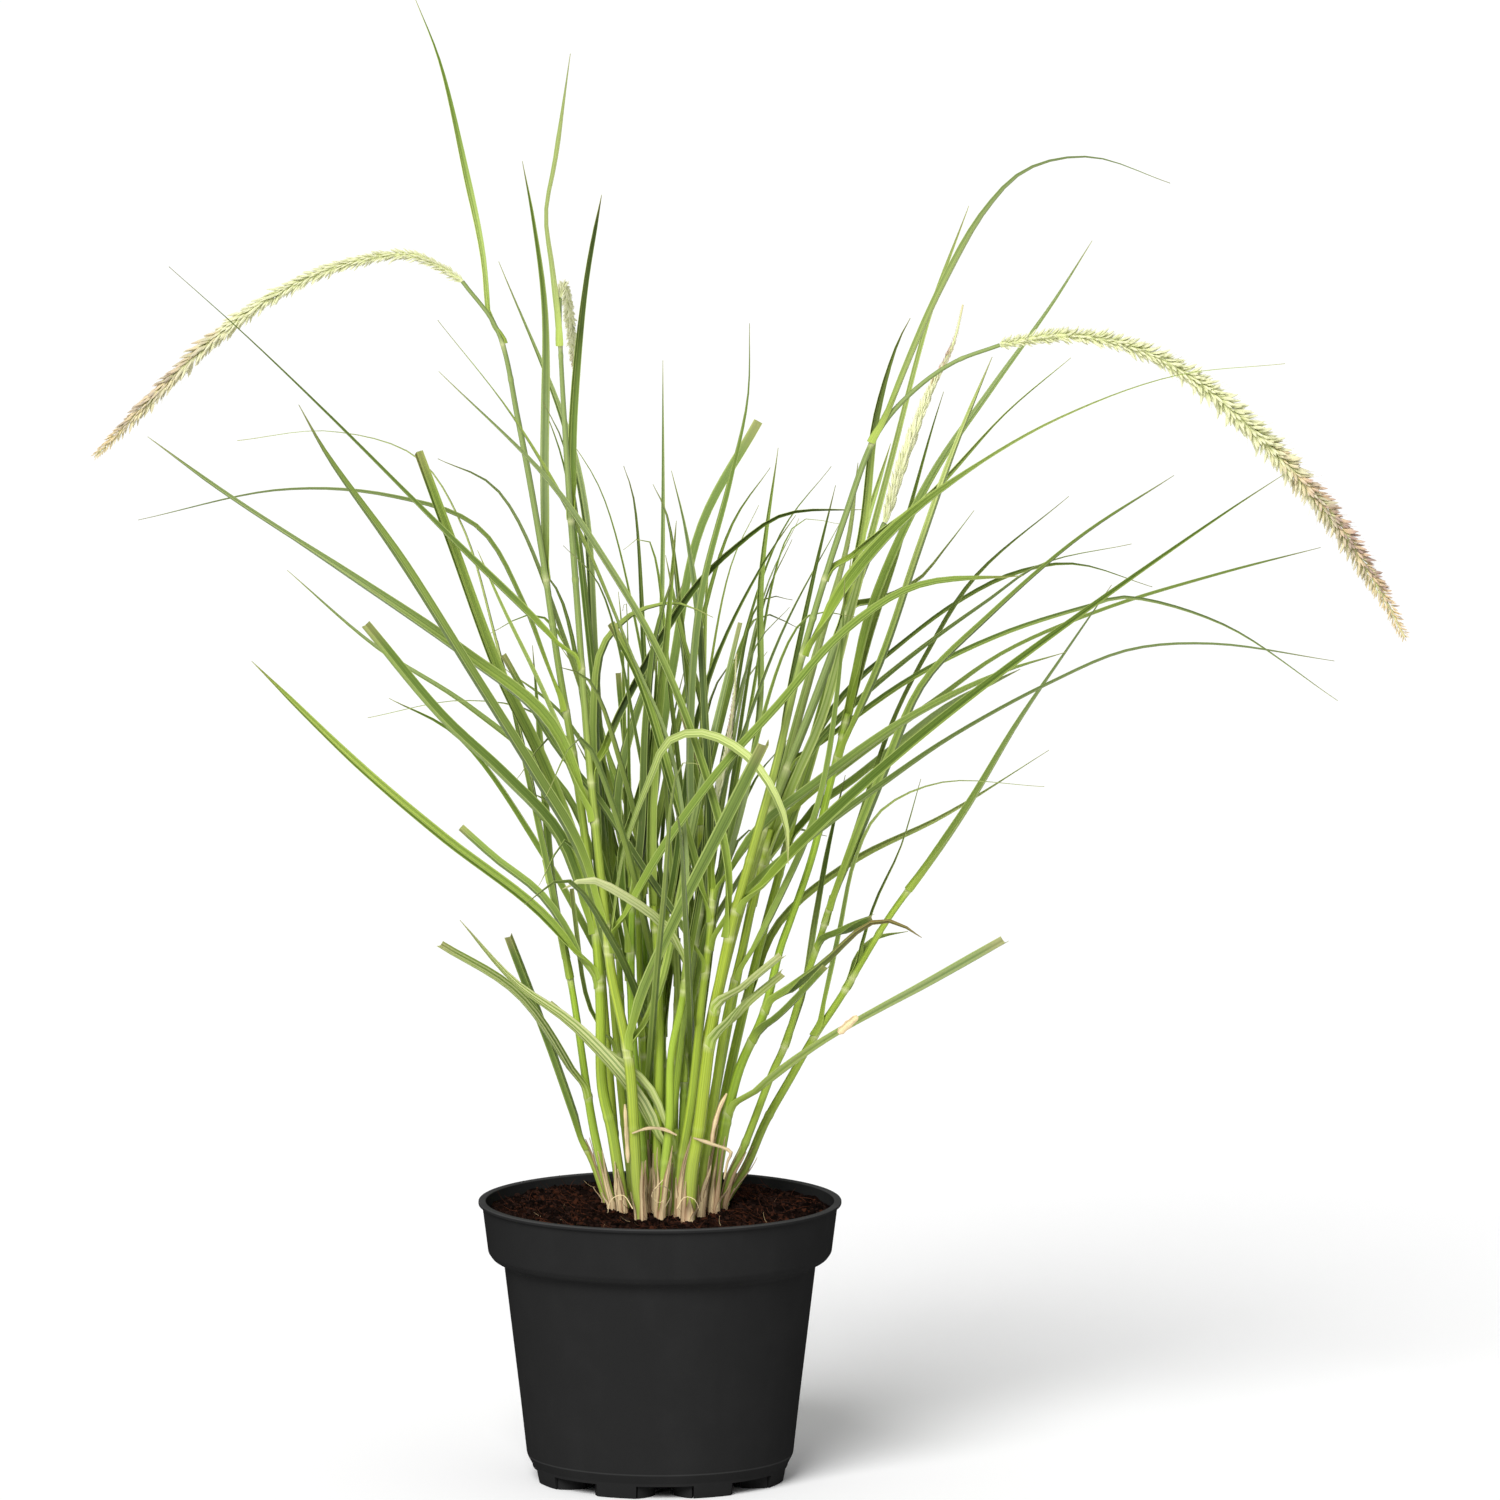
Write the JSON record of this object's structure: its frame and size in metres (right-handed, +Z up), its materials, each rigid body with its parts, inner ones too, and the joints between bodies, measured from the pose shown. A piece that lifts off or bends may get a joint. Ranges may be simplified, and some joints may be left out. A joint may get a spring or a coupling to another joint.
{
  "type": "potted sky rocket fountain grass",
  "caption": "Ornamental fountain grass with arching leaves and nodding bottlebrush flower heads, growing in a round black nursery pot.",
  "frame": {"origin": "on the pot's axis at the level that the pot stands on, 3 mm below the middle of its raised floor", "axes": "+Z up along the pot's axis, -Y towards the front of the plant, +X to its right"},
  "size_m": [0.6775, 0.6139, 0.777],
  "materials": {
    "pot": "satin black moulded plastic with faint turning lines",
    "soil": "dark brown crumbly peat with reddish fibres",
    "leaf": "green grass leaves with paler margins and fine veins, stems yellow-green, dry tan sheaths at the foot",
    "head": "pale yellow-green spikelets turning mauve and tan towards the tip, with fine bristles"
  },
  "bodies": {
    "root": {"pot": "pot", "soil": "soil", "stem-left-short": "leaf", "stem-left": "leaf", "stem-left-tall": "leaf", "stem-left-front": "leaf", "stem-middle-back": "leaf", "stem-middle-front": "leaf", "stem-inner-left": "leaf", "stem-inner": "leaf", "stem-inner-right": "leaf", "stem-inner-back": "leaf", "stem-stub": "leaf", "stem-middle": "leaf", "stem-right-tall": "leaf", "stem-right-inner": "leaf", "stem-right": "leaf", "stem-right-outer": "leaf", "stem-right-low": "leaf", "stem-right-back": "leaf", "stem-centre": "leaf", "stem-left-back": "leaf", "stem-fill-01": "leaf", "stem-fill-02": "leaf", "stem-fill-03": "leaf", "stem-fill-04": "leaf", "stem-fill-05": "leaf", "stem-fill-06": "leaf", "stem-fill-07": "leaf", "stem-fill-08": "leaf", "stem-fill-09": "leaf", "stem-fill-10": "leaf", "stem-fill-11": "leaf", "stem-fill-12": "leaf", "stem-fill-13": "leaf", "stem-fill-14": "leaf", "head-left": "head", "head-right": "head", "head-right-upright": "head", "head-left-nodding": "head", "head-centre": "head"}
  },
  "joints": []
}
